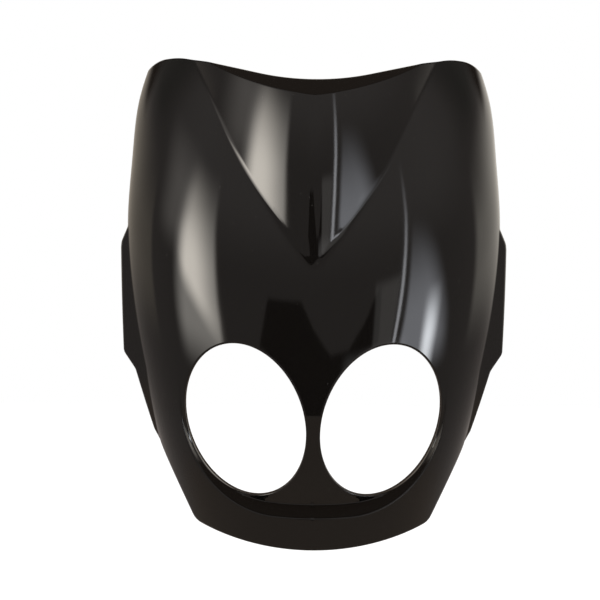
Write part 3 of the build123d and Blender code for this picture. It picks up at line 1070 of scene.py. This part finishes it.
class ReflectedStudio:
    """The surroundings that the gloss reflects, drawn by direction in a world's nodes.

    Azimuth 0 is straight in front of the panel and grows towards +X. All angles are in degrees.
    """

    def __init__(self, tree, colour):
        self.tree = tree
        self.colour = colour
        place = add_node(tree, "ShaderNodeTexCoord")
        split = add_node(tree, "ShaderNodeSeparateXYZ", {0: place.outputs["Generated"]}).outputs
        forward = self.arithmetic("MULTIPLY", split["Y"], -1.0)
        self.azimuth = self.arithmetic("DEGREES", self.arithmetic("ARCTAN2", split["X"], forward))
        self.aside = self.arithmetic("ABSOLUTE", self.azimuth)
        self.elevation = self.arithmetic("DEGREES", self.arithmetic("ARCSINE", split["Z"]))

    def arithmetic(self, operation, *values):
        node = add_node(self.tree, "ShaderNodeMath", operation=operation)
        for socket, value in zip(node.inputs, values):
            if isinstance(value, float):
                socket.default_value = value
            else:
                self.tree.links.new(value, socket)
        return node.outputs[0]

    def rise(self, value, low, high):
        """0 below low and 1 above high; the other way round if low is the greater."""
        ramp = add_node(self.tree, "ShaderNodeMapRange", {0: value}, interpolation_type="SMOOTHSTEP")
        ends = (low, high, 0.0, 1.0) if low < high else (high, low, 1.0, 0.0)
        for socket, end in zip(ramp.inputs[1:5], ends):
            socket.default_value = end
        return ramp.outputs[0]

    def all_of(self, shares):
        whole, *others = shares
        for share in others:
            whole = self.arithmetic("MULTIPLY", whole, share)
        return whole

    def within(self, fades):
        """The share inside all of the fades, each measured in azimuth, elevation or aside."""
        measures = {"azimuth": self.azimuth, "elevation": self.elevation, "aside": self.aside}
        return self.all_of([self.rise(measures[by], gone, whole) for by, gone, whole in fades])

    def leaning(self, lean):
        """The azimuth, leant with elevation."""
        above = self.arithmetic("ADD", self.elevation, -LEAN_ABOUT)
        return self.arithmetic("ADD", self.azimuth, self.arithmetic("MULTIPLY", above, lean))

    def tilted(self, tilt):
        """The elevation, raised with azimuth."""
        across = self.arithmetic("ADD", self.azimuth, -TILT_ABOUT)
        return self.arithmetic("ADD", self.elevation, self.arithmetic("MULTIPLY", across, tilt))

    def curve(self, points):
        """A height over azimuth, through the points given."""
        across = self.arithmetic("MULTIPLY_ADD", self.azimuth, 1 / CARD_SPAN, 0.5)
        node = add_node(self.tree, "ShaderNodeFloatCurve", {"Value": across})
        line = node.mapping.curves[0].points
        while len(line) < len(points):
            line.new(0.5, 0.5)
        for knot, (azimuth, height) in zip(line, points):
            knot.location = (azimuth / CARD_SPAN + 0.5, height / CARD_SPAN + 0.5)
            knot.handle_type = "VECTOR"
        node.mapping.update()
        return self.arithmetic("MULTIPLY_ADD", node.outputs[0], CARD_SPAN, -0.5 * CARD_SPAN)

    def lay(self, colour, share, blend_type):
        mix = add_node(self.tree, "ShaderNodeMix", {0: share}, data_type="RGBA", blend_type=blend_type)
        if isinstance(self.colour, tuple):
            mix.inputs[6].default_value = (*self.colour, 1)
        else:
            self.tree.links.new(self.colour, mix.inputs[6])
        mix.inputs[7].default_value = (*colour, 1)
        self.colour = mix.outputs[2]

    def paint(self, colour, share):
        """This colour in place of what was there."""
        self.lay(colour, share, "MIX")

    def shine(self, colour, share):
        """Light of this colour added on top."""
        self.lay(colour, share, "ADD")

    def card(self):
        """The share of the dark card in front."""
        below_top = self.arithmetic("SUBTRACT", self.curve(CARD_TOP), self.elevation)
        above_bottom = self.arithmetic("SUBTRACT", self.elevation, self.curve(CARD_BOTTOM))
        edges = [self.rise(inside_by, 0.0, CARD_SOFTNESS) for inside_by in (below_top, above_bottom)]
        return self.all_of([*edges, self.within(CARD_SIDES)])

    def soft_light(self, first_side, last_side, tilt, heights):
        """The share of one soft light, inside the fades on its four sides."""
        (first_lean, opens), (last_lean, closes) = first_side, last_side
        lit_from, lit_to = heights
        return self.all_of([
            self.rise(self.leaning(first_lean), *opens),
            self.rise(self.leaning(last_lean), closes[1], closes[0]),
            self.rise(self.tilted(tilt), *lit_from),
            self.rise(self.elevation, lit_to[1], lit_to[0]),
        ])


def studio_world():
    """White behind the panel for the camera; soft lights in a dim warm room for its reflections."""
    world = bpy.data.worlds.new("studio_world")
    bpy.context.scene.world = world
    world.use_nodes = True
    tree = world.node_tree
    seen = tree.nodes["Background"]
    seen.inputs["Color"].default_value = (1, 1, 1, 1)
    studio = ReflectedStudio(tree, ROOM_MIDDLE)
    for colour, fades in ROOM_PATCHES:
        studio.paint(colour, studio.within(fades))
    studio.paint(ROOM_DARK, studio.card())
    for colour, *shape in SOFT_LIGHTS:
        studio.shine(colour, studio.soft_light(*shape))
    reflected = add_node(tree, "ShaderNodeBackground", {"Color": studio.colour})
    path = add_node(tree, "ShaderNodeLightPath")
    by_ray = {0: path.outputs["Is Glossy Ray"], 1: seen.outputs[0], 2: reflected.outputs[0]}
    either = add_node(tree, "ShaderNodeMixShader", by_ray)
    tree.links.new(either.outputs[0], tree.nodes["World Output"].inputs["Surface"])


def studio_floor():
    bpy.ops.mesh.primitive_plane_add(size=FLOOR_SIZE, location=(0, 0, FLOOR_HEIGHT))
    floor = bpy.context.object
    floor.name = "studio_floor"
    material = bpy.data.materials.new("floor_white")
    material.use_nodes = True
    surface = material.node_tree.nodes["Principled BSDF"].inputs
    surface["Base Color"].default_value = FLOOR_WHITE
    surface["Roughness"].default_value = FLOOR_ROUGHNESS
    surface["Specular IOR Level"].default_value = 0.0
    surface["Emission Color"].default_value = (1, 1, 1, 1)
    surface["Emission Strength"].default_value = FLOOR_GLOW
    floor.data.materials.append(material)
    floor.visible_glossy = False


def studio_top_light():
    light = bpy.data.lights.new("top_light", "AREA")
    light.shape = "SQUARE"
    light.size = TOP_LIGHT_SIZE
    light.energy = TOP_LIGHT_POWER
    lamp = bpy.data.objects.new("top_light", light)
    lamp.location = TOP_LIGHT_PLACE
    bpy.context.scene.collection.objects.link(lamp)
    lamp.visible_glossy = False


def studio_camera():
    data = bpy.data.cameras.new("camera")
    data.sensor_width = CAMERA_SENSOR
    data.lens = CAMERA_SENSOR / (2 * CAMERA_SLOPE)
    camera = bpy.data.objects.new("camera", data)
    camera.location = CAMERA_PLACE
    camera.rotation_euler = (pi / 2, CAMERA_ROLL, 0)
    bpy.context.scene.collection.objects.link(camera)
    bpy.context.scene.camera = camera


moulded_surface = moulding_group()
gloss_black = plastic("gloss_black", moulded_surface, **GLOSS_BLACK)
satin_back = plastic("satin_back", moulded_surface, **SATIN_BACK)

shell_mesh = front_panel_shell()
shell_mesh.materials.append(gloss_black)
shell_mesh.materials.append(satin_back)
shell_piece = bpy.data.objects.new("front_panel_shell", shell_mesh)
bpy.context.scene.collection.objects.link(shell_piece)
# The shell doesn't mirror itself, or the foot of the lamp pocket would turn black
shell_piece.visible_glossy = False
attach(shell_piece, "root")
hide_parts("front_panel")

bosses, boss_sockets = boss_tree()
for piece_name, seats, sizes in (
    ("upper_screw_bosses", UPPER_SEATS, UPPER_BOSS),
    ("lower_screw_bosses", LOWER_SEATS, LOWER_BOSS),
    ("lamp_screw_bosses", LAMP_SEATS, LAMP_BOSS),
):
    piece = boss_piece(piece_name, bosses, boss_sockets, seats, sizes, shell_piece, satin_back)
    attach(piece, "root")
    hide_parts("front_panel")

bpy.context.scene.view_settings.view_transform = "Standard"
studio_world()
studio_floor()
studio_top_light()
studio_camera()
